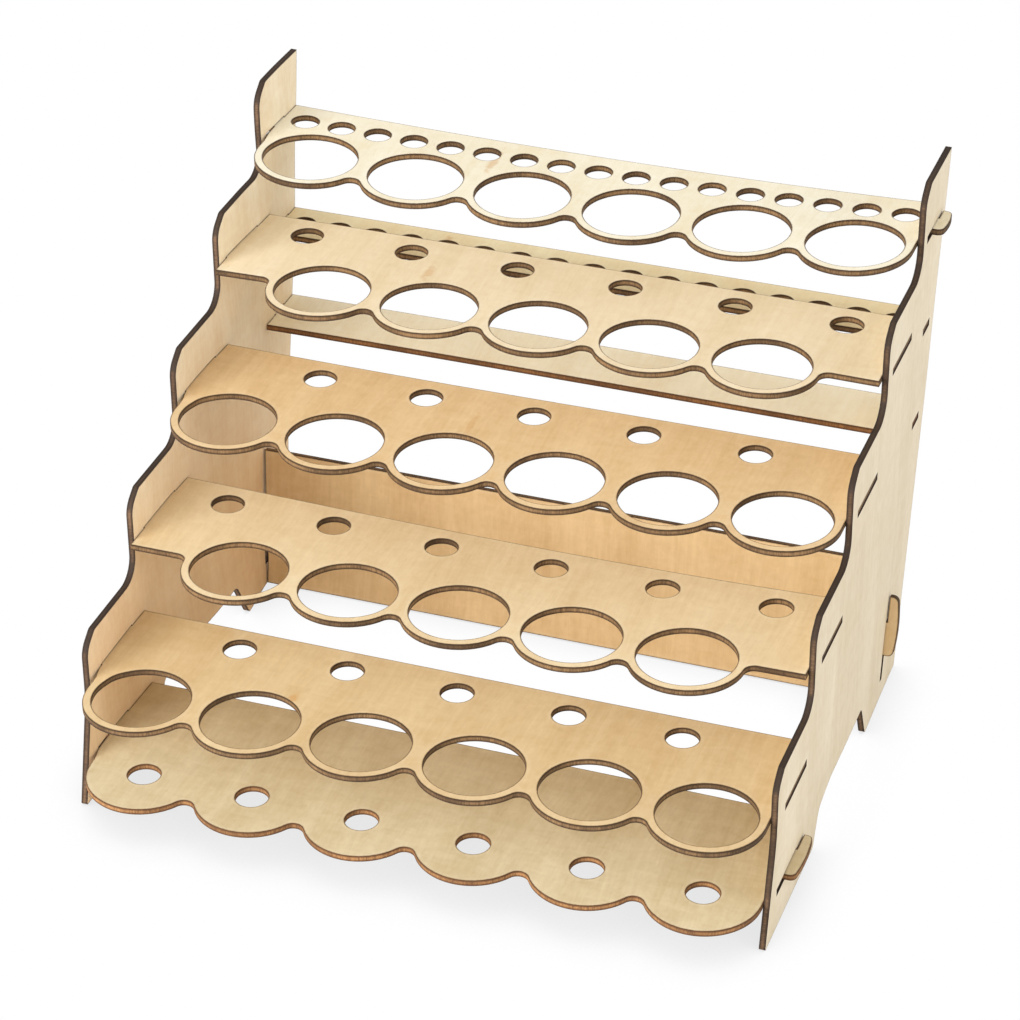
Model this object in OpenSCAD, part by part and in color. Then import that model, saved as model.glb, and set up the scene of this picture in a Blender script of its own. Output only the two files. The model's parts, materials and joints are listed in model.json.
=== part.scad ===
// Knock-down paint rack: eleven laser-cut plates of thin three-ply board.
// Two stepped side panels carry five shelves, a bottom tray, a brush guide
// strip, a brush rest strip and a leaning back panel.  Plain tabs locate the
// fixed plates; hook tabs on the top shelf, the tray and the back panel slide
// along their slots to lock the frame.
// Frame: +X to the right, +Y to the back, +Z up.  Origin: on the table plane,
// at the middle of the rack's overall width and depth.  The depths below are
// counted from the front tips of the feet; mid_y moves them to the origin.

/* [Board] */
// Thickness of the board, mm
ply = 2.4; // [2:0.1:3]
// Play on each side of a tab in its slot's thickness, mm
slot_play = 0.12; // [0.05:0.01:0.25]
// Play at each end of a plain tab along its slot, mm
slot_end_play = 0.15; // [0.05:0.05:0.4]
// Gap between a plate's end and the side panel's inner face, mm
end_gap = 0.1; // [0.05:0.05:0.3]
// How far a plain tab stops short of the outer face, mm
tab_recess = 0.3; // [0:0.1:0.8]

/* [Paint pot holes] */
// Centre distance of the pot holes along a row, which is also a ring's outside diameter, mm
pot_pitch = 42.4; // [41.5:0.1:44]
// Diameter of a pot hole, mm
pot_hole_d = 36; // [34:0.5:37]
// Pots in a full row; the rows between hold one fewer
pots = 6; // [5:1:7]
// Radius of the hollow between two rings, mm
web_r = 4; // [3:0.5:5]
// How far the straight end strips lie behind the line through the ring centres, mm
strip_back = 2; // [1:0.5:4]

/* [Small holes] */
// Diameter of the small holes behind the pots, mm
small_hole_d = 12.2; // [10:0.2:14]

/* [Brush holes] */
// Diameter of the brush holes, mm
brush_hole_d = 10.3; // [8:0.1:11]
// Centre distance of the brush holes, mm
brush_pitch = 14.8; // [14:0.1:14.9]
// Number of brush holes
brush_count = 17; // [9:1:17]
// Distance from the top shelf's pot centres back to its brush holes, mm
brush_back = 26.1; // [26:0.1:27]

/* [Levels] */
// Height of the tray's top face, mm
tray_z = 17.6; // [17.5:0.1:18.5]
// Height of the fifth shelf's top face, mm
shelf_5_z = 49.8; // [48:0.2:51]
// Height of the fourth shelf's top face, mm
shelf_4_z = 83.2; // [82:0.2:85]
// Height of the third shelf's top face, mm
shelf_3_z = 117.8; // [116:0.2:119]
// Height of the second shelf's top face, mm
shelf_2_z = 152.4; // [151:0.2:154]
// Height of the top shelf's top face, mm
shelf_1_z = 184.1; // [183:0.1:186]
// Height of the brush guide strip's top face, mm
guide_z = 143.5; // [142:0.5:145]
// Height of the brush rest strip's top face, mm
rest_z = 108; // [105:0.5:110]

/* [Depths] */
// Distance of the fifth shelf's pot centres behind the feet's front tips, mm
pot_row_y = 5.1; // [4.5:0.1:6]
// Step back from one row of pots to the next, mm
pot_row_step = 43.55; // [43.4:0.05:43.7]
// Distance of the tray's small holes behind the feet's front tips, mm
small_row_y = 3; // [2.5:0.1:3.5]
// Step back from one row of small holes to the next, mm
small_row_step = 42.6; // [42.4:0.05:42.8]
// Board behind the small holes' centres to a shelf's rear edge, mm
shelf_tail = 12.1; // [10:0.1:13]
// Depth of the tray, from its small holes' centres to its rear edge, mm
tray_tail = 54.4; // [50:0.2:56]
// Depth of the brush rest strip, mm
rest_depth = 26; // [24:0.5:28]
// Depth of the brush guide strip, mm
guide_depth = 22.4; // [21:0.2:26]

/* [Side panels] */
// Lean of the rear edges and the back panel from vertical, degrees
lean = 10.5; // [9.5:0.5:11]
// Distance of the rear edge's foot behind the feet's front tips, mm
rear_foot_y = 183.6; // [182:0.2:185]
// Distance of the lowest upright front edge behind the feet's front tips, mm
nose_y = 9.9; // [9:0.1:11]
// Step back from one upright front edge to the next, mm
nose_step_y = 43.8; // [43.4:0.1:44.2]
// Height of the lowest ledge, mm
nose_z = 67.5; // [66:0.5:69]
// Step up from one ledge to the next, mm
nose_step_z = 34.5; // [34:0.1:35]
// Height of the arch between the feet, mm
arch_h = 16.4; // [14:0.2:18]

/* [Tabs and hooks] */
// Length of a shelf's plain tab, mm
shelf_tab = 26.8; // [20:0.2:28]
// Length of a strip's plain tab, mm
strip_tab = 9; // [6:0.5:12]
// Length of the top shelf's hook head, mm
top_hook = 15.4; // [13:0.2:16]
// Distance of the top shelf's hooks in front of its rear edge, mm
top_hook_back = 5.2; // [4:0.2:8]
// Travel of the top shelf from locked to free, mm
top_travel = 6.6; // [5:0.2:7]
// Length of the tray's hook head, mm
tray_hook = 24.4; // [20:0.2:25]
// Distance of the tray's hooks behind the feet's front tips, mm
tray_hook_y = 22.2; // [16:0.2:24]
// Travel of the tray from locked to free, mm
tray_travel = 9.2; // [6:0.2:10]
// Length of the back panel's hook head, mm
back_hook = 24.6; // [20:0.2:25]
// Distance of the back panel's hooks above its lower edge, mm
back_hook_v = 19; // [16:0.5:24]
// Travel of the back panel from locked to free, mm
back_travel = 10.6; // [7:0.2:11]
// How far a hook head stands out at its middle, mm
hook_mid = 4.2; // [3.5:0.1:5]
// How far its long side would stand out at its ends, mm
hook_end = 3.2; // [2.4:0.1:3.6]
// Corner radius of a hook head, mm
hook_r = 2; // [1:0.1:2.4]

/* [Back panel] */
// Height of the back panel along its slope, mm
back_h = 56.8; // [50:0.2:58]
// Distance of its front lower edge behind the feet's front tips, mm
back_y = 157.6; // [156:0.2:159]
// Height of its front lower edge above the table, mm
back_z = 0.6; // [0.6:0.1:1.5]

/* [View] */
// Piece to draw

/* [Hidden] */

veneer = [0.86, 0.72, 0.52];
veneer_pale = [0.91, 0.80, 0.62];
veneer_warm = [0.80, 0.63, 0.42];
fn_pot = 72;
fn_small = 48;

side_gap = 0.2;         // full row of rings to a side panel's inner face
head_gap = 0.15;        // side panel's outer face to a hook head
hook_play = 0.2;        // hook head to slot ends, each side
shelf_tab_front = 12.1; // middle of a shelf's tab, in front of its small holes
steps = 5;              // upright front edges of a side panel

ring_r = pot_pitch / 2;
inner_x = pots * pot_pitch / 2 + side_gap; // side panels' inner faces
outer_x = inner_x + ply;                   // side panels' outer faces
end_x = inner_x - end_gap;                 // plates' ends
tab_x = outer_x - tab_recess;              // plain tabs' ends
head_x = outer_x + head_gap;               // hook heads' inner faces
slot_h = ply + 2 * slot_play;              // thickness of a slot
top_z = nose_z + (steps - 1) * nose_step_z; // side panels' top edges
mid_y = (small_row_y - ring_r + rear_y(top_z)) / 2;
levels = [shelf_1_z, shelf_2_z, shelf_3_z, shelf_4_z, shelf_5_z];
brush_y = pot_y(1) + brush_back;
top_hook_y = rear_y(shelf_1_z) - top_hook_back - top_hook; // front end of its hooks

// Rows of shelf n, 1 at the top to 5 at the bottom; odd shelves hold a full row of pots.
function is_full(n) = n % 2 == 1;
function pot_y(n) = pot_row_y + (5 - n) * pot_row_step;
function small_y(n) = small_row_y + (6 - n) * small_row_step;
function pot_count(n) = is_full(n) ? pots : pots - 1;
function small_count(n) = is_full(n) ? pots - 1 : pots;
function shelf_tab_y(n) = small_y(n) - shelf_tab_front;

// Side panels' rear edge at height z.
function rear_y(z) = rear_foot_y + z * tan(lean);

// Strips: rear edge at the side panels' rear edges, and middle.
function strip_rear(z) = rear_y(z - ply);
function strip_mid(z, depth) = strip_rear(z) - depth / 2;

// Place of item i in a centred row, in pitches.
function along(count, i) = i - (count - 1) / 2;

// Other short side of a right-angled triangle.
function leg(slant, side) = sqrt(max(0, pow(slant, 2) - pow(side, 2)));

// ---- rounded outlines --------------------------------------------------------

corner_steps = 8;
sharp_below = 0.05; // corners of a smaller radius stay sharp

function unit(v) = v / norm(v);
function xy(p) = [p[0], p[1]];
function short_turn(a) = a > 180 ? a - 360 : a < -180 ? a + 360 : a;

// Points of the arc that rounds the corner between its two neighbours.
function corner(before, tip, after, radius) =
    let (to_before = unit(before - tip),
         to_after = unit(after - tip),
         half = acos(max(-1, min(1, to_before * to_after))) / 2,
         reach = radius / tan(half),
         centre = tip + unit(to_before + to_after) * radius / sin(half),
         from = tip + to_before * reach - centre,
         to = tip + to_after * reach - centre,
         start = atan2(from[1], from[0]),
         turn = short_turn(atan2(to[1], to[0]) - start))
    radius < sharp_below ? [tip] :
    [for (i = [0:corner_steps])
        let (angle = start + turn * i / corner_steps)
        centre + radius * [cos(angle), sin(angle)]];

// Outline with rounded corners from entries [x, y, radius].
function rounded(pts) =
    let (count = len(pts))
    [for (i = [0:count - 1])
        each corner(xy(pts[(i + count - 1) % count]), xy(pts[i]),
                    xy(pts[(i + 1) % count]), pts[i][2])];

// ---- shared plate features -----------------------------------------------------

module both_ends() {
    children();
    mirror([1, 0]) children();
}

module hole_row(count, pitch, y, d, fn) {
    for (i = [0:count - 1])
        translate([along(count, i) * pitch, y]) circle(d = d, $fn = fn);
}

module pot_holes(n) hole_row(pot_count(n), pot_pitch, pot_y(n), pot_hole_d, fn_pot);

module small_holes(count, y) hole_row(count, pot_pitch, y, small_hole_d, fn_small);

module brush_holes(y) hole_row(brush_count, brush_pitch, y, brush_hole_d, fn_small);

// Board between two touching rings, ending in a round hollow at the front and
// reaching back over the gap behind the point where the rings touch.
web_half = 2;    // half the width of its rear edge
web_overlap = 1; // reach behind the strips' front edge

module web(x, y) {
    hollow_y = y - leg(ring_r + web_r, ring_r);
    rear = y + strip_back + web_overlap;
    difference() {
        polygon([[x - ring_r, y], [x, hollow_y], [x + ring_r, y],
                 [x + web_half, rear], [x - web_half, rear]]);
        translate([x, hollow_y]) circle(r = web_r, $fn = fn_small);
    }
}

// Scalloped front: discs side by side with hollows between them.
module scallops(count, y) {
    for (i = [0:count - 1])
        translate([along(count, i) * pot_pitch, y]) circle(r = ring_r, $fn = fn_pot);
    for (i = [0:count - 2]) web((along(count, i) + 0.5) * pot_pitch, y);
}

// Fillet from the outermost ring of an even shelf to its straight end strip.
module end_strip(count, y) {
    ring_x = along(count, count - 1) * pot_pitch;
    hollow_x = ring_x + leg(ring_r + web_r, web_r - strip_back);
    strip_y = y + strip_back;
    difference() {
        polygon([[ring_x, y], [hollow_x, strip_y - web_r],
                 [hollow_x, strip_y], [ring_x, strip_y]]);
        translate([hollow_x, strip_y - web_r]) circle(r = web_r, $fn = fn_small);
    }
}

// Body of a plate between the side panels, running back from y.
module body(y, depth) {
    translate([-end_x, y]) square([2 * end_x, depth]);
}

// A pair of plain tabs centred on y, drawn as one bar across the plate.
module plain_tabs(y, length) {
    translate([-tab_x, y - length / 2]) square([2 * tab_x, length]);
}

// How far a hook head stands out at distance d along its length: a shallow arc
// with rounded ends.
function hook_out(d, head) =
    let (from_end = min(d, head - d),
         arc = hook_end + (hook_mid - hook_end) * (1 - pow(2 * d / head - 1, 2)))
    from_end >= hook_r ? arc : arc - hook_r + leg(hook_r, hook_r - from_end);

// A pair of hooks: necks through the side panels, drawn as one bar across the
// plate, and a D-shaped head outside each.  Neck and head start together at y,
// and the head is longer by the travel.
neck_overlap = 1; // reach of the bar into each head

module hooks(y, head, travel) {
    bar_x = head_x + neck_overlap;
    translate([-bar_x, y]) square([2 * bar_x, head - travel]);
    end_arc = [for (i = [0:6]) hook_r * (1 - cos(i * 15))];
    stations = concat(end_arc,
                      [for (i = [1:9]) hook_r + (head - 2 * hook_r) * i / 10],
                      [for (i = [6:-1:0]) head - end_arc[i]]);
    right = concat([[head_x, y]],
                   [for (d = stations) [head_x + hook_out(d, head), y + d]],
                   [[head_x, y + head]]);
    polygon(right);
    polygon([for (i = [len(right) - 1:-1:0]) [-right[i][0], right[i][1]]]);
}

// Level plate with its top face at z.
module plate(z) {
    translate([0, -mid_y, z - ply]) linear_extrude(height = ply) children();
}

// ---- shelves and tray ------------------------------------------------------------

module shelf_outline(n) {
    front = pot_y(n) + (is_full(n) ? 0 : strip_back);
    rear = n == 1 ? rear_y(shelf_1_z - ply) : small_y(n) + shelf_tail;
    body(front, rear - front);
    scallops(pot_count(n), pot_y(n));
    if (!is_full(n)) both_ends() end_strip(pot_count(n), pot_y(n));
}

module pot_shelf(n) {
    plate(levels[n - 1]) difference() {
        union() {
            shelf_outline(n);
            plain_tabs(shelf_tab_y(n), shelf_tab);
        }
        pot_holes(n);
        small_holes(small_count(n), small_y(n));
    }
}

module shelf_1_top() {
    color(veneer_pale) plate(shelf_1_z) difference() {
        union() {
            shelf_outline(1);
            hooks(top_hook_y, top_hook, top_travel);
        }
        pot_holes(1);
        brush_holes(brush_y);
    }
}

module shelf_2() color(veneer_pale) pot_shelf(2);

module shelf_3() color(veneer) pot_shelf(3);

module shelf_4() color(veneer) pot_shelf(4);

module shelf_5() color(veneer) pot_shelf(5);

module bottom_tray() {
    color(veneer) plate(tray_z) difference() {
        union() {
            body(small_row_y, tray_tail);
            scallops(pots, small_row_y);
            hooks(tray_hook_y, tray_hook, tray_travel);
        }
        small_holes(pots, small_row_y);
    }
}

// ---- strips and back panel ---------------------------------------------------------

module strip_outline(z, depth) {
    body(strip_rear(z) - depth, depth);
    plain_tabs(strip_mid(z, depth), strip_tab);
}

// Its holes follow the top shelf's brush holes down the lean.
module brush_guide_strip() {
    color(veneer_pale) plate(guide_z) difference() {
        strip_outline(guide_z, guide_depth);
        brush_holes(brush_y - (shelf_1_z - guide_z) * tan(lean));
    }
}

module brush_rest_strip() color(veneer) plate(rest_z) strip_outline(rest_z, rest_depth);

module back_panel() {
    color(veneer_warm)
        translate([0, back_y - mid_y, back_z]) rotate([90 - lean, 0, 0])
            translate([0, 0, -ply]) linear_extrude(height = ply) {
                body(0, back_h);
                hooks(back_hook_v, back_hook, back_travel);
            }
}

// ---- side panels, drawn in their own plane: across is +Y, up is +Z --------------------

// Front edge of one step, downwards: a bevel from the ledge to the upright,
// then the upright's lower end.  The lowest upright ends above the foot.
bevel_y = 7;
bevel_z = 5.2;
bevel_ledge_r = 2.5;
bevel_front_r = 8;
ledge_corner_r = 9;
lowest_drop = 26; // lowest ledge to the lower end of its upright
lowest_r = 60;

function step_points(k) =
    let (y = nose_y + k * nose_step_y,
         z = nose_z + k * nose_step_z)
    [[y + bevel_y, z, bevel_ledge_r],
     [y, z - bevel_z, bevel_front_r],
     k > 0 ? [y, z - nose_step_z, ledge_corner_r] : [y, z - lowest_drop, lowest_r]];

// Lower edge, front to back: [y, z, corner radius].
feet_points = [
    [0, 0, 0.8], [62, 0, 3],                                       // front foot
    [68.5, arch_h - 3.2, 7], [84, arch_h, 30], [128.4, arch_h, 4], // arch
    [136.4, 0, 2.5], [rear_foot_y, 0, 0.8]                         // rear foot
];

module side_outline() {
    polygon(rounded(concat(
        [[rear_y(top_z), top_z, 0]],
        [for (k = [steps - 1:-1:0]) each step_points(k)],
        feet_points)));
}

// Slot for a plain tab centred on y, in a plate with its top face at z.
module tab_slot(y, z, length) {
    translate([y, z - ply / 2]) square([length + 2 * slot_end_play, slot_h], center = true);
}

// Slot for a level plate's hook: the head passes through it whole, and the
// neck, starting at y, stands at its rear end when locked.
module flat_hook_slot(y, z, head, travel) {
    translate([y - travel - hook_play, z - ply - slot_play])
        square([head + 2 * hook_play, slot_h]);
}

// Leaning slot for the back panel's hook; the locked neck stands at its upper end.
module back_hook_slot() {
    translate([back_y, back_z]) rotate(-lean)
        translate([-slot_play, back_hook_v - back_travel - hook_play])
            square([slot_h, back_hook + 2 * hook_play]);
}

// Side panel with its left face at x.
module side_panel(x) {
    translate([x, -mid_y, 0]) rotate([90, 0, 90]) linear_extrude(height = ply) difference() {
        side_outline();
        for (n = [2:5]) tab_slot(shelf_tab_y(n), levels[n - 1], shelf_tab);
        tab_slot(strip_mid(guide_z, guide_depth), guide_z, strip_tab);
        tab_slot(strip_mid(rest_z, rest_depth), rest_z, strip_tab);
        flat_hook_slot(top_hook_y, shelf_1_z, top_hook, top_travel);
        flat_hook_slot(tray_hook_y, tray_z, tray_hook, tray_travel);
        back_hook_slot();
    }
}

module side_left() color(veneer_pale) side_panel(-outer_x);

module side_right() color(veneer_pale) side_panel(inner_x);

side_left();
side_right();
shelf_1_top();
shelf_2();
shelf_3();
shelf_4();
shelf_5();
bottom_tray();
brush_guide_strip();
brush_rest_strip();
back_panel();
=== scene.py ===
"""A stepped brush rack of laser-cut three-ply birch boards, hooked together.

The shelves run left to right (X) between two upright side panels.  They step down from the top
shelf at the back (+Y) to the tray at the bottom front (-Y).  Z is up and the floor lies just
under the rack.  Blender's units are metres; board sizes and places are in mm.
"""
import json
import math

import bpy
import numpy as np
from mathutils import Matrix, Vector
from mathutils.geometry import delaunay_2d_cdt


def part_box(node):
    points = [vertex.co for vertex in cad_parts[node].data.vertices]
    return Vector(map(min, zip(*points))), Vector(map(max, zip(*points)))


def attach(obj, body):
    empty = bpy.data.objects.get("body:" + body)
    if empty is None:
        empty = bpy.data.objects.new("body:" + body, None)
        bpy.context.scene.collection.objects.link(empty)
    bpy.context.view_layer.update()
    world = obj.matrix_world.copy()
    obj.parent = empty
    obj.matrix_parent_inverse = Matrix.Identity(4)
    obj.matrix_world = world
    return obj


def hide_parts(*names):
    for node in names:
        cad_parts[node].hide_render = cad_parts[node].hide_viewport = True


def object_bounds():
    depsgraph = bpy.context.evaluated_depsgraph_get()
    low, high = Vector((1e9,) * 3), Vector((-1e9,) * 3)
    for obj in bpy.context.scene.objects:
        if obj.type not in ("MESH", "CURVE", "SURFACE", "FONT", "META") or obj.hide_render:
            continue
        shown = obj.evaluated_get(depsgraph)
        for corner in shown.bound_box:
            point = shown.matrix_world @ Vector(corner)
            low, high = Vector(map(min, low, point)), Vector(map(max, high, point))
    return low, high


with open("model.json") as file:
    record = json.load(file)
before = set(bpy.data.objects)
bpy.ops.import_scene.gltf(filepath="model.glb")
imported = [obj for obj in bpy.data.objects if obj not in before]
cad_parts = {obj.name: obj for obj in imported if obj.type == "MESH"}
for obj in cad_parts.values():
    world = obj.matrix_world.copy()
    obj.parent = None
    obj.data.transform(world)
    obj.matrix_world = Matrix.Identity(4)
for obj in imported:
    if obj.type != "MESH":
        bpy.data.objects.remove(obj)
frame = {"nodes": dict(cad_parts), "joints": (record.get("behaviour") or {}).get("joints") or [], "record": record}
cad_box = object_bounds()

MM = 0.001  # metres in a millimetre
PER_METRE = 1000.0  # millimetres in a metre
scene = bpy.context.scene
nodes = frame["nodes"]
record = frame["record"]
BODY = {n: body for body, members in record["behaviour"]["bodies"].items() for n in members}


def back_lock(joints):
    """The joint along which the back panel slides."""
    return next(joint for joint in joints if joint["name"] == "back_panel_lock")


# Each board's own u, v, w: u and v run along the board, w across its thickness.
X, Y, Z = Vector((1, 0, 0)), Vector((0, 1, 0)), Vector((0, 0, 1))
up_slope = -Vector(back_lock(frame["joints"])["axis"])
LEVEL = (X, Y, Z)
AXES = {
    "side_left": (Y, Z, X),
    "side_right": (Y, Z, X),
    "back_panel": (X, up_slope, X.cross(up_slope)),
}

# ---------------------------------------------------------------------------
# Board outlines, in mm
# ---------------------------------------------------------------------------

LEAST_STEP = 0.25  # outline steps shorter than this go
CORNER_TURN = 24  # degrees; an outline that turns more than this has a corner
LONG_BESIDE_SHORT = 2.5  # a side this many times its neighbour is straight, and sets the tangent
ARC_STEP, STRAIGHT_STEP = 1.1, 3.0  # longest steps along the outline
CHUNK = 400  # points measured at once, to spare memory


def cross(a, b):
    return a[..., 0] * b[..., 1] - a[..., 1] * b[..., 0]


def local_points(node):
    """The node's vertices in its board's own u, v, w, in mm, and those axes."""
    axes = np.array([list(axis) for axis in AXES.get(node, LEVEL)], float)
    vertices = nodes[node].data.vertices
    points = np.zeros(len(vertices) * 3)
    vertices.foreach_get("co", points)
    return points.reshape(-1, 3) @ axes.T / MM, axes


def outline_loops(node, points):
    """Closed outlines of the board's upper face: outer ones counterclockwise, holes clockwise."""
    mesh = nodes[node].data
    mesh.calc_loop_triangles()
    top = points[:, 2].max()
    number, index, flat = {}, np.zeros(len(points), int), []
    for i, point in enumerate(points):
        key = (round(point[0], 3), round(point[1], 3), round(point[2], 2))
        if key not in number:
            number[key] = len(flat)
            flat.append(point[:2])
        index[i] = number[key]
    flat = np.array(flat)

    # Edges that two triangles share cancel out, which leaves the outline.
    edges = {}
    for triangle in mesh.loop_triangles:
        ids = np.array(triangle.vertices[:])
        if (abs(points[ids, 2] - top) > 0.01).any():
            continue
        a, b, c = index[ids]
        area = cross(flat[b] - flat[a], flat[c] - flat[a])
        if abs(area) < 1e-7:
            continue
        if area < 0:
            b, c = c, b
        for edge in ((a, b), (b, c), (c, a)):
            if edge[::-1] in edges:
                del edges[edge[::-1]]
            else:
                edges[edge] = True

    follow = {a: b for a, b in edges}
    loops = []
    while follow:
        at = next(iter(follow))
        loop = []
        while at in follow:
            loop.append(at)
            at = follow.pop(at)
        if len(loop) > 2:
            loops.append(flat[loop])
    return loops


def without_steps(outline):
    """Joins points closer than LEAST_STEP, so that a step smaller than the cut's width goes."""
    points = list(outline)
    again = True
    while again and len(points) > 4:
        again = False
        for i in range(len(points)):
            j = (i + 1) % len(points)
            if np.linalg.norm(points[j] - points[i]) < LEAST_STEP:
                points[i] = (points[i] + points[j]) / 2
                points.pop(j)
                again = True
                break
    return np.array(points)


def sides(outline):
    """The outline's sides as vectors, and their lengths."""
    side = np.roll(outline, -1, 0) - outline
    return side, np.linalg.norm(side, axis=1)


def smooth_resampled(outline):
    """The outline with its arcs refined through its own points, and its corners kept."""
    count = len(outline)
    side, length = sides(outline)
    along = side / length[:, None]
    tangent, corner = np.zeros((count, 2)), np.zeros(count, bool)
    for i in range(count):
        before, after = along[i - 1], along[i]
        len_before, len_after = length[i - 1], length[i]
        turn = abs(math.degrees(math.atan2(cross(before, after), before @ after)))
        if turn > CORNER_TURN:
            corner[i] = True
        elif len_before > LONG_BESIDE_SHORT * len_after:
            tangent[i] = before
        elif len_after > LONG_BESIDE_SHORT * len_before:
            tangent[i] = after
        else:
            blend = before * len_after + after * len_before
            tangent[i] = blend / np.linalg.norm(blend)

    resampled = []
    for i in range(count):
        j = (i + 1) % count
        chord, size = along[i], length[i]
        start, end = tangent[i], tangent[j]
        if corner[i] and corner[j]:
            start = end = chord
        elif corner[i]:
            start = 2 * (chord @ end) * chord - end
        elif corner[j]:
            end = 2 * (chord @ start) * chord - start
        bent = (start @ chord) < 0.99999 or (end @ chord) < 0.99999
        steps = max(1, math.ceil(size / (ARC_STEP if bent else STRAIGHT_STEP)))
        for step in range(steps):
            s = step / steps
            # A Hermite curve from this point to the next.
            resampled.append(
                (2 * s**3 - 3 * s**2 + 1) * outline[i]
                + (s**3 - 2 * s**2 + s) * size * start
                + (-2 * s**3 + 3 * s**2) * outline[j]
                + (s**3 - s**2) * size * end
            )
    return np.array(resampled)


def inward(outline):
    """For each outline point, the offset that moves both its sides one unit into the board."""
    side, length = sides(outline)
    side /= length[:, None]
    after = np.stack([-side[:, 1], side[:, 0]], 1)
    before = np.roll(after, 1, 0)
    return (before + after) / np.maximum(0.35, 1 + (before * after).sum(1))[:, None]


def all_sides(loops):
    """Start points and end points of every side of every loop."""
    return np.concatenate(loops), np.concatenate([np.roll(loop, -1, 0) for loop in loops])


def distance_to(points, loops, cap=12.0):
    """Distance of each point to the nearest outline, in mm."""
    start, end = all_sides(loops)
    side = end - start
    square = np.maximum((side**2).sum(1), 1e-12)
    best = np.full(len(points), cap)
    for k in range(0, len(points), CHUNK):
        offset = points[k : k + CHUNK][:, None, :] - start[None]
        t = np.clip((offset * side[None]).sum(2) / square[None], 0, 1)
        distance = np.sqrt(((offset - t[..., None] * side[None]) ** 2).sum(2).min(1))
        best[k : k + CHUNK] = np.minimum(distance, cap)
    return best


def inside(points, loops):
    """True where a point lies in the board, by even-odd crossings."""
    start, end = all_sides(loops)
    x0, y0 = start.T[:, None]
    run, rise = (end - start).T[:, None]
    result = np.zeros(len(points), bool)
    for k in range(0, len(points), CHUNK):
        x, y = points[k : k + CHUNK].T[..., None]
        crossed = (y0 > y) != (end[None, :, 1] > y)
        with np.errstate(divide="ignore", invalid="ignore"):
            crossing = x0 + (y - y0) * run / rise
        result[k : k + CHUNK] = (crossed & (x < crossing)).sum(1) % 2 == 1
    return result


# ---------------------------------------------------------------------------
# Board meshes, in mm
# ---------------------------------------------------------------------------

GLUE_LINES = (0.295, 0.705)  # heights of the two glue lines, as shares of the thickness
# Cross-section of a laser-cut edge: height as a share of the thickness, set-back.
# The arrises are just broken and each glue line is burnt back into a fine groove.
EDGE = [
    (0.0, 0.16), (0.018, 0.06), (0.05, 0.0),
    (0.275, 0.0), (GLUE_LINES[0], 0.05), (0.315, 0.0),
    (0.5, 0.02),
    (0.685, 0.0), (GLUE_LINES[1], 0.05), (0.725, 0.0),
    (0.95, 0.0), (0.982, 0.06), (1.0, 0.16),
]
FACE_RINGS = ((0.55, 1), (1.3, 2))  # rings of face points: set-back, every which outline point
RING_CLEARANCE = 0.93  # least distance to the outline, as a share of the ring's set-back
GRID_STEP, GRID_JITTER, GRID_CLEARANCE = 4.0, 0.4, 2.2
LOOP_GAP = 7.0  # jump in arc_mm from one outline to the next


def face_mesh(node, points, loops):
    """A flat face: the outline set back by the arris, rings near it and a loose grid inside.

    Returns its points, the rim's first, and its triangles, counterclockwise.
    """
    rims = [loop + inward(loop) * EDGE[-1][1] for loop in loops]
    edges, rim_count = [], 0
    for rim in rims:
        count = len(rim)
        edges.extend((rim_count + i, rim_count + (i + 1) % count) for i in range(count))
        rim_count += count

    fill, clearance = [], []
    for gap, stride in FACE_RINGS:
        for loop in loops:
            fill.append((loop + inward(loop) * gap)[::stride])
            clearance.append(np.full(len(fill[-1]), gap * RING_CLEARANCE))
    rng = np.random.default_rng(sum(map(ord, node)))
    u_line, v_line = (
        np.arange(points[:, k].min(), points[:, k].max(), GRID_STEP) for k in (0, 1)
    )
    grid_u, grid_v = np.meshgrid(u_line, v_line)
    jitter = rng.uniform(-GRID_JITTER, GRID_JITTER, (grid_u.size, 2))
    fill.append(np.stack([grid_u.ravel(), grid_v.ravel()], 1) + jitter)
    clearance.append(np.full(grid_u.size, GRID_CLEARANCE))
    fill = np.concatenate(fill)
    clear = distance_to(fill, loops) > np.concatenate(clearance)
    given = np.concatenate(rims + [fill[clear & inside(fill, loops)]])

    flat, _, tris, *_ = delaunay_2d_cdt([Vector(q) for q in given], edges, [], 0, 1e-6, False)
    flat = np.array([list(q) for q in flat])
    tris = np.array(tris)
    if len(flat) < len(given) or abs(flat[: len(given)] - given).max() > 0.01:
        raise RuntimeError(f"{node}: the face's points were reordered")
    tris = tris[inside(flat[tris].mean(1), rims)]
    a, b, c = flat[tris].transpose(1, 0, 2)
    clockwise = cross(b - a, c - a) < 0
    tris[clockwise] = tris[clockwise][:, ::-1]

    used = np.unique(tris)
    new_index = -np.ones(len(flat), int)
    new_index[used] = np.arange(len(used))
    if (new_index[:rim_count] < 0).any():
        raise RuntimeError(f"{node}: the face lost part of its rim")
    return flat[used], new_index[tris]


def layer(flat, height, share, edge_mm=0.0, arc_mm=0.0):
    """Rows of u, v, w, edge_mm, arc_mm, share for points at one height."""
    columns = (np.broadcast_to(c, len(flat)) for c in (height, edge_mm, arc_mm, share))
    return np.column_stack([flat, *columns])


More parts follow.
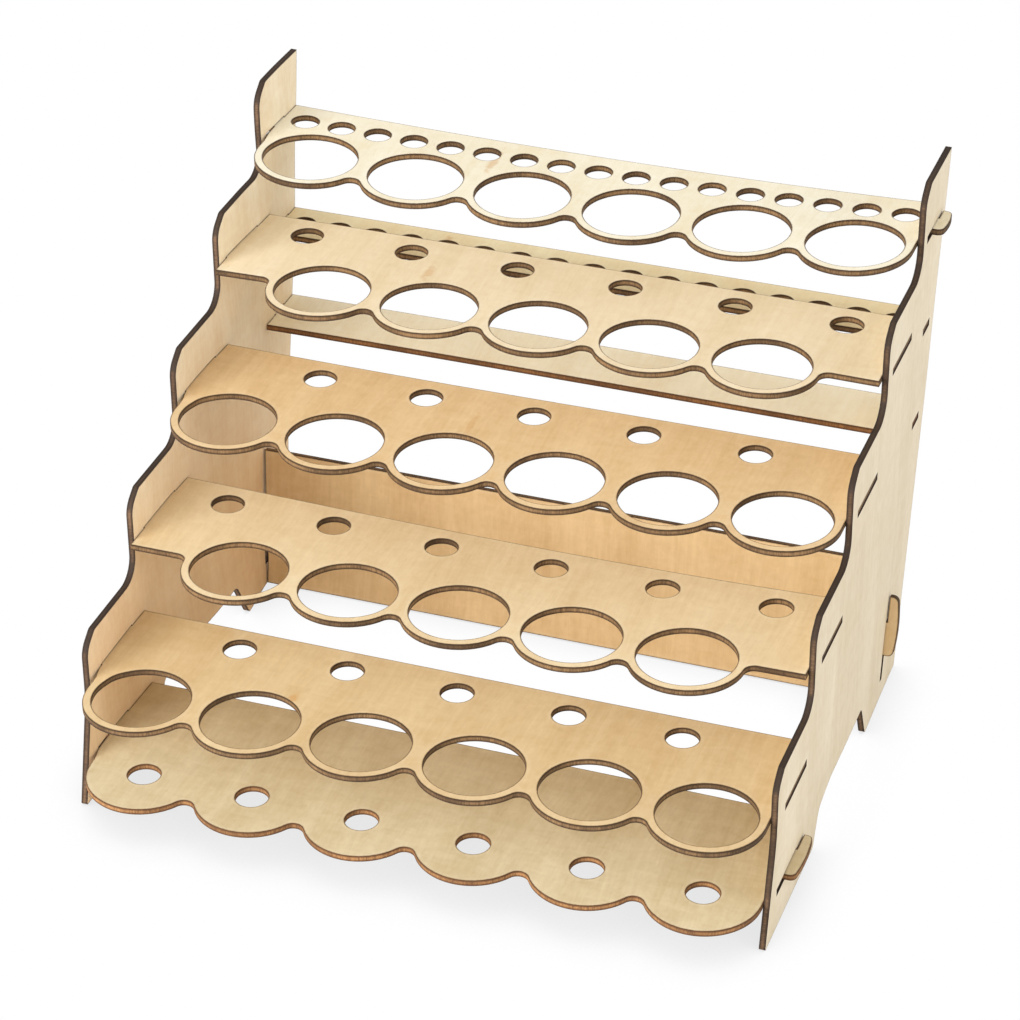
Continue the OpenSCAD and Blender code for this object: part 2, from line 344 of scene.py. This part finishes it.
def build_board(node):
    """The board's point rows (see layer), axes, faces and the material index of each face."""
    points, axes = local_points(node)
    low, high = points[:, 2].min(), points[:, 2].max()
    loops = [smooth_resampled(without_steps(loop)) for loop in outline_loops(node, points)]
    flat, tris = face_mesh(node, points, loops)
    to_edge = distance_to(flat, loops)
    face_count = len(flat)
    layers = [layer(flat, low, 0.0, to_edge), layer(flat, high, 1.0, to_edge)]
    faces = [list(t[::-1]) for t in tris] + [list(t + face_count) for t in tris]
    slots = [0] * len(faces)

    travelled, first, base = 0.0, 0, 2 * face_count
    for loop in loops:
        count = len(loop)
        step = sides(loop)[1]
        arc = np.concatenate([[0], np.cumsum(step)[:-1]]) + travelled
        travelled += step.sum() + LOOP_GAP
        back = inward(loop)
        rows = [range(first, first + count)]
        for share, set_back in EDGE[1:-1]:
            outline = loop + back * set_back
            layers.append(layer(outline, low + share * (high - low), share, arc_mm=arc))
            rows.append(range(base, base + count))
            base += count
        rows.append(range(face_count + first, face_count + first + count))
        first += count
        for lower, upper in zip(rows, rows[1:]):
            for i in range(count):
                j = (i + 1) % count
                faces.append([lower[i], lower[j], upper[j], upper[i]])
                slots.append(1)
    return np.vstack(layers), axes, faces, slots


# ---------------------------------------------------------------------------
# How the boards bow once they are hooked together, in mm
# ---------------------------------------------------------------------------

# Rise of the middle, its change towards the back (per BOW_DEPTH) and to the right, and the
# depth (y) the board's middle lies at.  The ends stay where the frame puts them.
BOW = {
    "shelf_1_top": (-2.8, 0.47, -0.13, 75),
    "shelf_2": (0.9, -0.83, -0.35, 45),
    "shelf_3": (-0.52, -0.06, 0.71, 18),
    "shelf_4": (-1.67, -1.36, -0.69, -18),
    "shelf_5": (-0.3, -1.06, -0.11, -50),
    "bottom_tray": (0.39, 0.1, 0.0, -75),
    "brush_rest_strip": (0.3, 0.0, -0.18, 75),
}
BOW_DEPTH = 40.0
# The side panels' inner and outer faces.
INNER, OUTER = (corner[0] * PER_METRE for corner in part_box("side_right"))
FOLLOW_FROM, FOLLOW_SHORT = 116, 0.4  # boards start to follow the sides here, and end short of INNER
# Boards whose parts outside the side panels stand off by OUTSIDE_GAP.
LOOSE = ("shelf_1_top", "bottom_tray", "back_panel")
OUTSIDE_GAP = 0.3
BACK_GAP = 0.15  # between the back panel's ends and the side panels
lock = back_lock(record["behaviour"]["joints"])
BACK_TRAVEL = [a * lock["range_m"][1] * PER_METRE for a in lock["axis"]]
# Depth of the end rings that stand in front of the side panels and so don't follow them.
END_RING = {"shelf_1_top": 77.0, "shelf_3": -10.0, "shelf_5": -97.0, "bottom_tray": -103.0}
RING_FADE = (6, 14)  # following sets in over this stretch behind an end ring

# Sideways bow of the side panels.
NOSE_Y, NOSE_LEAN = 100, 0.95  # the line of the noses is y = NOSE_LEAN * z - NOSE_Y
NOSE_SPLAY, NOSE_REACH = 1.3, 45  # left noses: outward splay, and how far behind it fades
LOW_HEIGHT = 115.0  # the drawing-in of the low parts fades out at this height
LEFT_LOW_DRAW, LEFT_LOW_EASING = 6.2, 0.3  # left, low: draw, and its lessening at the back
LEFT_BACK_DRAW = 1.1  # left, at middle height at the back
RIGHT_TOP_SPLAY, RIGHT_LOW_DRAW = 0.4, 1.2


def ease(value, start, end):
    t = np.clip((value - start) / (end - start), 0.0, 1.0)
    return t * t * (3 - 2 * t)


def side_bow(x, y, z):
    """Sideways bow of the side panel on x's side: noses splay out, the lower back is drawn in."""
    low = np.clip(1 - z / LOW_HEIGHT, 0.0, 1.0)
    behind_nose = y + NOSE_Y - NOSE_LEAN * z
    drawn_in = LEFT_LOW_DRAW * ease(y, -50, 20) * (1 - LEFT_LOW_EASING * ease(y, 25, 60)) * low**2
    middle_height = ease(z, 45, 110) * (1 - ease(z, 135, 175))
    drawn_in = drawn_in + LEFT_BACK_DRAW * ease(y, 40, 85) * middle_height
    left = -NOSE_SPLAY * (1 - ease(behind_nose, 0, NOSE_REACH)) + drawn_in
    right = RIGHT_TOP_SPLAY * ease(z, 140, 205) - RIGHT_LOW_DRAW * ease(y, 0, 90) * low
    return np.where(x < 0, left, right)


def bend(node, metres):
    """Bow a board's points (metres); its ends and hooks stay with the side panels."""
    points = metres * PER_METRE
    x, y, z = points[:, 0], points[:, 1], points[:, 2]
    side = side_bow(x, y, z)
    if node.startswith("side_"):
        points[:, 0] += side
        return points / PER_METRE
    reach = np.abs(x)
    if node == "back_panel":
        # Room for its slide: the ends clear the side panels at both ends of the travel.
        there = side_bow(x, y + BACK_TRAVEL[1], z + BACK_TRAVEL[2])
        tightest = np.where(x < 0, np.maximum(side, there), np.minimum(side, there))
        side = np.where(reach < INNER, tightest - np.sign(x) * BACK_GAP, side)
    follow = side * ease(reach, FOLLOW_FROM, INNER - FOLLOW_SHORT)
    if node in END_RING:
        follow = follow * ease(y, *(END_RING[node] + fade for fade in RING_FADE))
    rise, back_rise, right_rise, middle = BOW.get(node, (0, 0, 0, 0))
    u, v = np.clip(x / INNER, -1, 1), (y - middle) / BOW_DEPTH
    points[:, 2] += (rise + back_rise * v + right_rise * u) * (1 - u * u)
    points[:, 0] += follow
    if node in LOOSE:
        # reach still holds the places before following.
        points[:, 0] += np.sign(x) * OUTSIDE_GAP * ease(reach, OUTER, OUTER + 0.1)
    return points / PER_METRE


def make_board(node, materials):
    rows, axes, faces, slots = build_board(node)
    place = rows[:, :3].copy()
    name = f"{node}_board"
    mesh = bpy.data.meshes.new(name)
    mesh.from_pydata([tuple(q) for q in bend(node, place @ axes * MM)], [], faces)
    mesh.polygons.foreach_set("material_index", slots)
    for column, label in enumerate(("edge_mm", "arc_mm", "share"), start=3):
        attribute = mesh.attributes.new(label, "FLOAT", "POINT")
        attribute.data.foreach_set("value", rows[:, column].astype(np.float32))
    centre = (place.min(0) + place.max(0)) / 2
    attribute = mesh.attributes.new("board_mm", "FLOAT_VECTOR", "POINT")
    attribute.data.foreach_set("vector", (place - centre).astype(np.float32).ravel())
    for material in materials:
        mesh.materials.append(material)
    mesh.update()
    board = bpy.data.objects.new(name, mesh)
    scene.collection.objects.link(board)
    for polygon in mesh.polygons:
        polygon.use_smooth = True
    mesh.set_sharp_from_angle(angle=math.radians(34))
    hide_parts(node)
    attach(board, BODY[node])


# ---------------------------------------------------------------------------
# Materials
# ---------------------------------------------------------------------------


def srgb(*channels):
    """Linear colour from sRGB channels of 0 to 255."""
    shares = [c / 255 for c in channels]
    return (*(c / 12.92 if c <= 0.04045 else ((c + 0.055) / 1.055) ** 2.4 for c in shares), 1.0)


class Shader:
    """Short calls for building the nodes of a material or a world."""

    def __init__(self, owner):
        owner.use_nodes = True
        self.tree = owner.node_tree
        self.tree.nodes.clear()

    def node(self, kind, inputs=None, **settings):
        made = self.tree.nodes.new("ShaderNode" + kind)
        for key, value in settings.items():
            setattr(made, key, value)
        for key, value in (inputs or {}).items():
            if isinstance(value, bpy.types.NodeSocket):
                self.tree.links.new(value, made.inputs[key])
            else:
                made.inputs[key].default_value = value
        return made

    def attribute(self, name, output="Fac"):
        return self.node("Attribute", attribute_name=name).outputs[output]

    def math(self, operation, a, b=0.0, c=0.0, clamp=False):
        return self.node("Math", {0: a, 1: b, 2: c}, operation=operation, use_clamp=clamp).outputs[0]

    def times(self, value, by, clamp=False):
        return self.math("MULTIPLY", value, by, clamp=clamp)

    def times_plus(self, value, by, plus, clamp=False):
        return self.math("MULTIPLY_ADD", value, by, plus, clamp)

    def minus(self, value, less):
        return self.math("SUBTRACT", value, less)

    def combine(self, x, y, z):
        return self.node("CombineXYZ", {0: x, 1: y, 2: z}).outputs[0]

    def separate(self, vector):
        return self.node("SeparateXYZ", {0: vector}).outputs

    def noise(self, vector, scale=1.0, detail=3.0, roughness=0.55, distortion=0.0):
        inputs = {"Vector": vector, "Scale": scale, "Detail": detail,
                  "Roughness": roughness, "Distortion": distortion}
        return self.node("TexNoise", inputs).outputs["Fac"]

    def streaks(self, x, y, z, scales, **look):
        """Noise with a scale of its own along x and along y."""
        return self.noise(self.combine(self.times(x, scales[0]), self.times(y, scales[1]), z), **look)

    def span(self, value, over, to=(0.0, 1.0), smooth=False):
        """Maps the range over onto the range to."""
        inputs = dict(enumerate((value, *over, *to)))
        kind = "SMOOTHSTEP" if smooth else "LINEAR"
        return self.node("MapRange", inputs, interpolation_type=kind).outputs[0]

    def grey_ramp(self, factor, stops):
        ramp = self.node("ValToRGB", {0: factor})
        elements = ramp.color_ramp.elements
        while len(elements) < len(stops):
            elements.new(0.5)
        for element, (position, level) in zip(elements, stops):
            element.position = position
            element.color = (level, level, level, 1.0)
        return ramp.outputs[0]

    def mix(self, factor, a, b, blend="MIX"):
        inputs = {0: factor, 6: a, 7: b}
        settings = dict(data_type="RGBA", blend_type=blend, clamp_factor=True)
        return self.node("Mix", inputs, **settings).outputs[2]

    def bump(self, height, strength, distance):
        inputs = {"Strength": strength, "Distance": distance, "Height": height}
        return self.node("Bump", inputs).outputs[0]

    def surface(self, colour, roughness, normal, specular):
        inputs = {"Base Color": colour, "Roughness": roughness,
                  "Specular IOR Level": specular, "Normal": normal}
        return self.node("BsdfPrincipled", inputs).outputs[0]

    def by_ray(self, for_camera, for_others):
        """One shader for what the camera sees, another for the light it gives the rest."""
        is_camera = self.node("LightPath").outputs["Is Camera Ray"]
        return self.node("MixShader", {0: is_camera, 1: for_others, 2: for_camera}).outputs[0]


# Veneer noises: whether it follows the wandering grain, scales per mm (across and along the
# grain), detail, roughness, distortion.
VENEER_NOISE = {
    "lines": (True, (0.42, 0.010), 4.0, 0.62, 0.0),
    "fine": (True, (2.6, 0.055), 3.0, 0.6, 0.0),
    "bands": (True, (0.075, 0.007), 3.0, 0.5, 0.0),
    "cloud": (False, (0.020, 0.020), 3.0, 0.55, 0.0),
    "curl": (False, (0.10, 0.24), 3.0, 0.6, 0.6),
    "fleck": (False, (0.55, 0.20), 3.0, 0.65, 0.0),
    "pores": (True, (3.4, 0.30), 1.0, 0.55, 0.0),
    "pore_patches": (False, (0.05, 0.05), 2.0, 0.55, 0.0),
}


def veneer(node, seed, pale, tan, mottle, knots):
    """Sanded birch veneer with its grain along the board's v."""
    material = bpy.data.materials.new(f"veneer_{node}")
    t = Shader(material)
    board = t.attribute("board_mm", "Vector")
    u, v, w = t.separate(board)
    upper = t.math("GREATER_THAN", w, 0.0)
    shift = t.times_plus(upper, by=137.0, plus=seed * 71.3)
    # Slow sideways wander bends the grain lines.
    wander = t.streaks(u, v, shift, scales=(0.010, 0.006), detail=2.0)
    bent = t.times_plus(wander, by=26.0, plus=u)
    noise = {
        name: t.streaks(bent if follows else u, v, shift, scales,
                        detail=detail, roughness=roughness, distortion=distortion)
        for name, (follows, scales, detail, roughness, distortion) in VENEER_NOISE.items()
    }
    fine = noise["fine"]

    # Tone from pale to tan: each noise, the range of it that counts, and its weight.
    layers = (
        ("bands", (0.32, 0.68), 0.42),
        ("lines", (0.30, 0.70), 0.24),
        ("cloud", (0.30, 0.70), 0.34 * mottle),
        ("curl", (0.30, 0.70), 0.26 * mottle),
        ("fleck", (0.30, 0.70), 0.30),
    )
    tone = 0.5 - 0.5 * sum(weight for _, _, weight in layers)
    for name, over, weight in layers:
        last = name == "fleck"
        tone = t.times_plus(t.span(noise[name], over), by=weight, plus=tone, clamp=last)
    colour = t.mix(tone, srgb(*pale), srgb(*tan))

    # Pores: short dark dashes along the grain, far apart.
    pores = t.span(noise["pores"], over=(0.70, 0.80), smooth=True)
    patches = t.span(noise["pore_patches"], over=(0.42, 0.62))
    colour = t.mix(t.times(t.times(pores, patches), by=0.30), colour, srgb(150, 108, 66))
    dark = t.span(fine, over=(0.28, 0.72), to=(1.02, 0.98))
    colour = t.mix(1.0, colour, t.combine(dark, dark, dark), "MULTIPLY")

    # Knots, on the upper face only: ragged ovals.
    for knot_u, knot_v, length, width, strength in knots:
        du = t.math("DIVIDE", t.minus(u, knot_u), width)
        dv = t.math("DIVIDE", t.minus(v, knot_v), length)
        ragged = t.times(t.minus(t.noise(board, scale=0.35, detail=2.0), less=0.5), by=1.3)
        radius = t.math("SQRT", t.math("ADD", t.times(du, du), t.times(dv, dv)))
        radius = t.math("ADD", radius, ragged)
        mark = t.times(t.span(radius, over=(1.0, 0.25), smooth=True), by=strength)
        colour = t.mix(t.times(mark, upper), colour, srgb(206, 152, 84))
    if node == "side_left":
        # Painted shade: warmer and darker towards its foot, where the shelves shade its inner face.
        foot_shade = t.span(v, over=(40.0, -60.0), smooth=True)
        colour = t.mix(foot_shade, colour, (1.06, 0.95, 0.86, 1.0), "MULTIPLY")

    # Smoke browns a hair's breadth beside each cut, with a painted highlight past it: a slightly paler line along
    # the rim.
    edge = t.attribute("edge_mm")
    uneven = t.minus(t.noise(board, scale=0.9, detail=2.0), less=0.5)
    ragged = t.times_plus(uneven, by=0.35, plus=edge)
    burn = t.times(t.span(ragged, over=(0.58, 0.16), smooth=True), by=0.78)
    past_burn = t.span(edge, over=(0.35, 0.7), smooth=True)
    near_edge = t.span(edge, over=(1.9, 1.0), smooth=True)
    rim_highlight = t.times(t.times(past_burn, near_edge), by=0.05)
    colour = t.mix(rim_highlight, colour, (1.0, 0.95, 0.84, 1.0))
    colour = t.mix(burn, colour, srgb(104, 74, 46))

    roughness = t.span(fine, over=(0.2, 0.8), to=(0.52, 0.66))
    ridges = t.math("ADD", fine, t.times(noise["lines"], by=0.5))
    height = t.times_plus(pores, by=-0.6, plus=ridges)
    normal = t.bump(height, strength=0.08, distance=0.00012)
    t.node("OutputMaterial", {0: t.surface(colour, roughness, normal, specular=0.3)})
    return material


# How much of the core's colour shows: height as a share of the thickness, level.
CORE_LEVELS = [(0.0, 0.0), (0.14, 0.02), (0.27, 0.62), (0.45, 0.88),
               (0.62, 1.0), (0.76, 0.60), (0.88, 0.04), (1.0, 0.0)]


def burnt_edge(node, seed, char, core):
    """Laser-burnt edge: charred face plies, a paler striated core ply, dark glue lines."""
    material = bpy.data.materials.new(f"burnt_edge_{node}")
    t = Shader(material)
    arc, share = t.attribute("arc_mm"), t.attribute("share")
    shift = seed * 13.7
    striae = t.streaks(arc, share, shift, scales=(1.9, 0.5), roughness=0.7)
    hair = t.streaks(arc, share, shift + 4.0, scales=(5.5, 0.8), detail=2.0, roughness=0.6)
    drift = t.streaks(arc, share, shift + 9.0, scales=(0.045, 0.3))
    along = t.combine(t.times(arc, by=0.22), shift, 0.0)
    wave = t.times(t.minus(t.noise(along, detail=2.0), less=0.5), by=0.10)
    lift = t.grey_ramp(t.math("ADD", share, wave), CORE_LEVELS)
    lift = t.times(lift, t.span(striae, over=(0.30, 0.68), to=(0.25, 1.2)))
    lift = t.times(lift, t.span(drift, over=(0.34, 0.66), to=(0.30, 1.45)), clamp=True)
    colour = t.mix(lift, srgb(*char), srgb(*core))
    dark_hair = t.span(hair, over=(0.35, 0.75), to=(0.0, 0.32))
    colour = t.mix(dark_hair, colour, srgb(38, 26, 17))
    # Painted shade: on the side panels, edges that face upward are painted darker than upright ones.
    upward_shade = 0.75 if node.startswith("side_") else 0.0
    lean = t.separate(t.node("NewGeometry").outputs["Normal"])[2]
    upward_shade_mask = t.span(lean, over=(0.22, 0.45), to=(0.0, upward_shade), smooth=True)
    colour = t.mix(upward_shade_mask, colour, srgb(50, 40, 33))
    gaps = [t.math("ABSOLUTE", t.minus(share, line)) for line in GLUE_LINES]
    seam = t.span(t.math("MINIMUM", *gaps), over=(0.030, 0.008), to=(0.0, 0.45), smooth=True)
    colour = t.mix(seam, colour, srgb(44, 29, 20))
    height = t.math("ADD", t.times(striae, by=1.0), t.times(hair, by=0.4))
    roughness = t.span(striae, over=(0.3, 0.7), to=(0.62, 0.85))
    normal = t.bump(height, strength=0.5, distance=0.00010)
    t.node("OutputMaterial", {0: t.surface(colour, roughness, normal, specular=0.25)})
    return material


# Veneers: pale and tan in sRGB, mottle, knots (u, v, length, width in mm, strength).
# Pale and tan hold each board's own tone together with painted light and shade: the top shelf,
# the rest strip and the left side panel are painted paler where light falls fully on them, and the
# lower shelves and the tray are painted darker where the shelves above shade them.
VENEER_TONE_AND_PAINTED_LIGHT = {
    "shelf_1_top": ((248, 241, 219), (234, 219, 184), 1.0,
                    ((-40, 12, 12, 2.2, 0.45), (-20, -18, 16, 1.6, 0.28))),
    "shelf_2": ((244, 226, 192), (226, 201, 158), 0.9, ((-52, 10, 9, 2.4, 0.36),)),
    "shelf_3": ((233, 203, 156), (212, 175, 123), 1.0, ((-20, 12, 10, 1.6, 0.35),)),
    "shelf_4": ((238, 216, 175), (218, 189, 142), 1.0, ()),
    "shelf_5": ((226, 200, 154), (206, 173, 123), 1.1, ((-54, 2, 5, 2.4, 0.6),)),
    "bottom_tray": ((222, 206, 170), (198, 176, 134), 1.3, ()),
    "brush_guide_strip": ((248, 234, 194), (236, 212, 164), 0.9, ((-60, 2, 8, 3.0, 0.5),)),
    "brush_rest_strip": ((254, 247, 224), (240, 225, 192), 0.9, ()),
    "back_panel": ((231, 200, 151), (207, 170, 119), 1.1, ()),
    "side_left": ((253, 241, 213), (236, 212, 173), 0.9, ()),
    "side_right": ((233, 220, 195), (214, 197, 165), 0.9, ()),
}
# Burnt edges: char and core in sRGB.
COMMON_EDGE = ((62, 44, 29), (150, 117, 80))
EDGE_COLOURS = {
    "bottom_tray": ((92, 60, 36), (184, 134, 86)),
    "brush_rest_strip": ((88, 57, 34), (158, 110, 66)),
    "side_left": ((54, 40, 31), (124, 96, 72)),
    "side_right": ((54, 40, 31), (124, 96, 70)),
}

for seed, node in enumerate(sorted(VENEER_TONE_AND_PAINTED_LIGHT), start=1):
    face = veneer(node, seed, *VENEER_TONE_AND_PAINTED_LIGHT[node])
    rim = burnt_edge(node, seed, *EDGE_COLOURS.get(node, COMMON_EDGE))
    make_board(node, [face, rim])

# ---------------------------------------------------------------------------
# Floor, light and camera, in metres
# ---------------------------------------------------------------------------

WHITE = (1.0, 1.0, 1.0, 1.0)
FLOOR_HALF, FLOOR_CELLS, FLOOR_DROP = 6.0, 24, 0.0002


def floor_material():
    """Very bright to the camera, with a faint shade where something stands close above it."""
    material = bpy.data.materials.new("studio_floor")
    t = Shader(material)
    openness = t.node("AmbientOcclusion", {"Distance": 0.035}, samples=8).outputs["AO"]
    shade = t.span(openness, over=(0.28, 0.78), to=(0.78, 1.0))
    grain = t.noise(t.node("TexCoord").outputs["Object"], scale=3.0, detail=2.0)
    tint = t.mix(t.span(grain, over=(0.3, 0.7)), (0.999, 0.999, 1.0, 1.0), WHITE)
    grey = t.mix(1.0, tint, t.combine(shade, shade, shade), "MULTIPLY")
    glow = t.node("Emission", {"Color": grey, "Strength": 1.0}).outputs[0]
    matt = t.node("BsdfDiffuse", {"Color": (0.86, 0.86, 0.86, 1.0)}).outputs[0]
    t.node("OutputMaterial", {0: t.by_ray(for_camera=glow, for_others=matt)})
    return material


def make_floor():
    height = cad_box[0][2] - FLOOR_DROP
    row = FLOOR_CELLS + 1
    ticks = [-FLOOR_HALF + 2 * FLOOR_HALF * i / FLOOR_CELLS for i in range(row)]
    corners = [j * row + i for j in range(FLOOR_CELLS) for i in range(FLOOR_CELLS)]
    mesh = bpy.data.meshes.new("floor")
    mesh.from_pydata([(x, y, height) for y in ticks for x in ticks], [],
                     [(c, c + 1, c + row + 1, c + row) for c in corners])
    mesh.materials.append(floor_material())
    floor = bpy.data.objects.new("floor", mesh)
    scene.collection.objects.link(floor)


def make_world():
    """White to the camera, softer as a light."""
    scene.world = bpy.data.worlds.new("studio")
    t = Shader(scene.world)
    bright = t.node("Background", {"Color": WHITE, "Strength": 1.0}).outputs[0]
    soft = t.node("Background", {"Color": WHITE, "Strength": 0.72}).outputs[0]
    t.node("OutputWorld", {0: t.by_ray(for_camera=bright, for_others=soft)})


LIGHT_AIM, LIGHT_DISTANCE, LIGHT_SIZE = Vector((0, 0, 0.1)), 1.6, 0.8
# Square softboxes: name, degrees round from straight in front (plus is to the right),
# degrees up, watts.
LIGHTS = (
    ("key_left_front", -35, 18, 18.0),
    ("key_left_high", -30, 38, 4.4),
    ("fill_front", -8, 18, 7.3),
    ("side_right", 95, 18, 6.0),
)


def studio_light(name, turn, lift, power):
    turn, lift = math.radians(turn), math.radians(lift)
    flat = math.cos(lift)
    way = Vector((math.sin(turn) * flat, -math.cos(turn) * flat, math.sin(lift)))
    place = LIGHT_AIM + LIGHT_DISTANCE * way
    data = bpy.data.lights.new(name, "AREA")
    data.shape = "RECTANGLE"
    data.size = data.size_y = LIGHT_SIZE
    data.energy = power
    light = bpy.data.objects.new(name, data)
    light.location = place
    light.rotation_mode = "QUATERNION"
    light.rotation_quaternion = (LIGHT_AIM - place).to_track_quat("-Z", "Y")
    scene.collection.objects.link(light)


def make_camera():
    """In front of the rack, to its right and above, looking down at it."""
    camera = bpy.data.objects.new("camera", bpy.data.cameras.new("camera"))
    scene.collection.objects.link(camera)
    camera.data.sensor_width = 36.0
    camera.data.lens = 129.6359294
    camera.data.clip_start, camera.data.clip_end = 0.01, 50.0
    camera.location = (0.38141, -1.06648, 0.81458)
    ahead = Vector((-0.283667, 0.794558, -0.536853)).normalized()
    right = Vector((0.943083, 0.332500, -0.006206)).normalized()
    upward = right.cross(ahead).normalized()
    right = ahead.cross(upward)
    turned = Matrix((right, upward, -ahead)).transposed().to_4x4()
    camera.matrix_world = Matrix.Translation(camera.location) @ turned
    scene.camera = camera


make_floor()
make_world()
for light in LIGHTS:
    studio_light(*light)
make_camera()

scene.view_settings.view_transform = "Standard"
scene.view_settings.look = "None"
scene.view_settings.exposure = 0.0
scene.view_settings.gamma = 1.0
